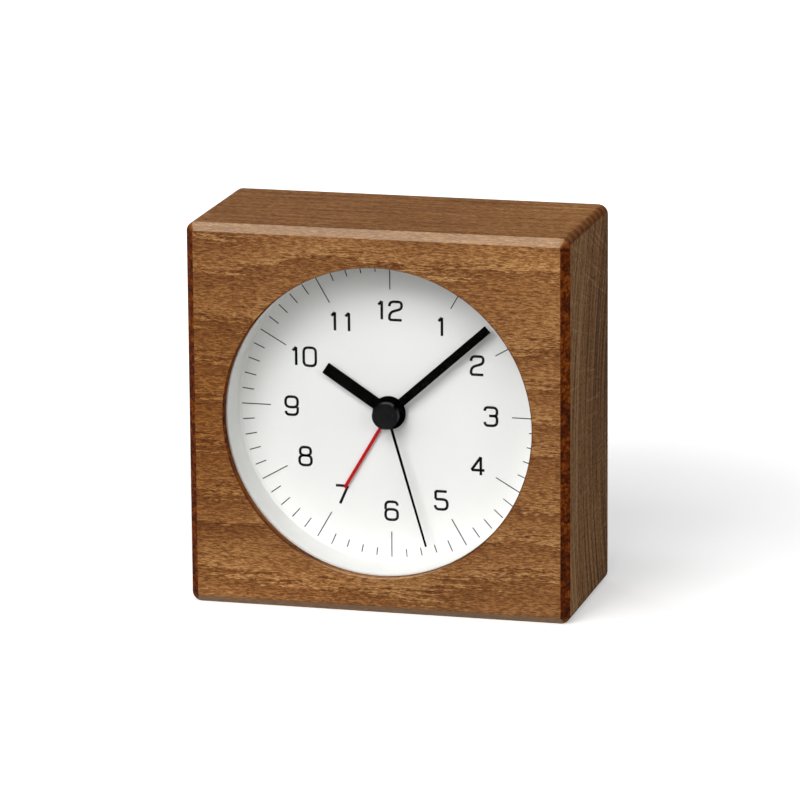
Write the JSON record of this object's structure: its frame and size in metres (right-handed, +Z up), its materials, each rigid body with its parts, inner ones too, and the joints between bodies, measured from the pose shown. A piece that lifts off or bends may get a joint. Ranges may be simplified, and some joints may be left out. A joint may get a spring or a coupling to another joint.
{
  "type": "desk alarm clock",
  "caption": "Square wooden desk alarm clock with a recessed round dial, hour, minute, second and alarm hands, and a quartz movement set from the back.",
  "frame": {"origin": "centre of the block's underside, on the surface it stands on", "axes": "+Z up, the dial faces -Y, +X to the right as seen from the front; the hands turn about +Y, clockwise positive"},
  "size_m": [0.11, 0.05, 0.11],
  "materials": {
    "stained_beech": "satin",
    "clear_glass": "polished",
    "white_abs": "fine matte",
    "dial_white": "matte print",
    "red_enamel": "satin",
    "black_enamel": "matte",
    "white_acetal": "moulded",
    "brass": "turned",
    "magnet_steel": "plain",
    "silicon_steel": "rolled",
    "copper_wire": "enamelled copper",
    "circuit_laminate": "solder mask",
    "nickel_plate": "plated",
    "black_resin": "cast",
    "black_abs": "spark-eroded texture",
    "zinc_steel": "zinc plated",
    "battery_wrap": "shrink sleeve",
    "grey_abs": "moulded"
  },
  "bodies": {
    "clock": {"case": "stained_beech", "lens": "clear_glass", "dial_ring": "white_abs", "dial": "dial_white", "stator": "silicon_steel", "coil_core": "silicon_steel", "coil_bobbin": "white_acetal", "coil_winding": "copper_wire", "circuit_board": "circuit_laminate", "quartz_crystal": "nickel_plate", "clock_chip": "black_resin", "alarm_contact": "brass", "middle_plate": "white_acetal", "movement_front": "black_abs", "movement_rear": "black_abs", "back_cover": "black_abs", "cover_screws": "zinc_steel", "battery": "battery_wrap", "contact_positive": "nickel_plate", "contact_negative": "nickel_plate", "battery_spring": "nickel_plate", "buzzer": "black_resin", "switch_board": "circuit_laminate", "snooze_board": "circuit_laminate", "snooze_spring": "nickel_plate"},
    "second": {"second_hand": "black_enamel", "centre_cap": "black_enamel", "second_wheel": "white_acetal"},
    "third": {"third_wheel": "white_acetal"},
    "centre": {"centre_wheel": "white_acetal"},
    "intermediate": {"intermediate_wheel": "white_acetal"},
    "motor_rotor": {"rotor": "magnet_steel"},
    "minute": {"minute_hand": "black_enamel", "cannon_pinion": "brass"},
    "motion": {"motion_wheel": "white_acetal", "time_knob": "black_abs"},
    "hour": {"hour_hand": "black_enamel", "hour_wheel": "white_acetal"},
    "alarm": {"alarm_hand": "red_enamel", "alarm_wheel": "white_acetal"},
    "alarm_setting": {"alarm_pinion": "white_acetal", "alarm_knob": "black_abs"},
    "switch_slide": {"alarm_switch": "white_abs"},
    "button": {"snooze_button": "grey_abs"},
    "door": {"battery_door": "black_abs"}
  },
  "joints": [
    {"name": "second_hand_turn", "type": "hinge", "parent": "clock", "child": "second", "pos_m": [0, -0.009, 0.055], "axis": [0, 1, 0], "continuous": true},
    {"name": "third_wheel_turn", "type": "hinge", "parent": "clock", "child": "third", "pos_m": [0, -0.009, 0.0442], "axis": [0, 1, 0], "continuous": true},
    {"name": "centre_wheel_turn", "type": "hinge", "parent": "clock", "child": "centre", "pos_m": [0, -0.009, 0.055], "axis": [0, 1, 0], "continuous": true},
    {"name": "intermediate_wheel_turn", "type": "hinge", "parent": "clock", "child": "intermediate", "pos_m": [0.00979, -0.009, 0.05044], "axis": [0, 1, 0], "continuous": true},
    {"name": "rotor_turn", "type": "hinge", "parent": "clock", "child": "motor_rotor", "pos_m": [0.01543, -0.009, 0.04838], "axis": [0, 1, 0], "continuous": true},
    {"name": "minute_hand_turn", "type": "hinge", "parent": "clock", "child": "minute", "pos_m": [0, -0.009, 0.055], "axis": [0, 1, 0], "continuous": true},
    {"name": "motion_wheel_turn", "type": "hinge", "parent": "clock", "child": "motion", "pos_m": [0.00937, -0.009, 0.0625], "axis": [0, 1, 0], "continuous": true},
    {"name": "hour_hand_turn", "type": "hinge", "parent": "clock", "child": "hour", "pos_m": [0, -0.009, 0.055], "axis": [0, 1, 0], "continuous": true},
    {"name": "alarm_hand_turn", "type": "hinge", "parent": "clock", "child": "alarm", "pos_m": [0, -0.009, 0.055], "axis": [0, 1, 0], "continuous": true},
    {"name": "alarm_setting_turn", "type": "hinge", "parent": "clock", "child": "alarm_setting", "pos_m": [-0.01299, -0.009, 0.0625], "axis": [0, 1, 0], "continuous": true},
    {"name": "alarm_switch_slide", "type": "slide", "parent": "clock", "child": "switch_slide", "axis": [0, 0, 1], "range_m": [0, 0.004]},
    {"name": "snooze_button_press", "type": "slide", "parent": "clock", "child": "button", "axis": [0, -1, 0], "range_m": [0, 0.001], "stiffness_N_per_m": 300, "deforming": ["snooze_spring"]},
    {"name": "battery_door_lift", "type": "slide", "parent": "clock", "child": "door", "axis": [0, 1, 0], "range_m": [0, 0.03]}
  ],
  "couplings": [
    {"joint": "third_wheel_turn", "follows": "second_hand_turn", "ratio": -0.13333},
    {"joint": "centre_wheel_turn", "follows": "second_hand_turn", "ratio": 0.016667},
    {"joint": "intermediate_wheel_turn", "follows": "second_hand_turn", "ratio": -6},
    {"joint": "rotor_turn", "follows": "second_hand_turn", "ratio": 30},
    {"joint": "motion_wheel_turn", "follows": "minute_hand_turn", "ratio": -0.33333},
    {"joint": "hour_hand_turn", "follows": "minute_hand_turn", "ratio": 0.083333},
    {"joint": "alarm_setting_turn", "follows": "alarm_hand_turn", "ratio": -2}
  ]
}
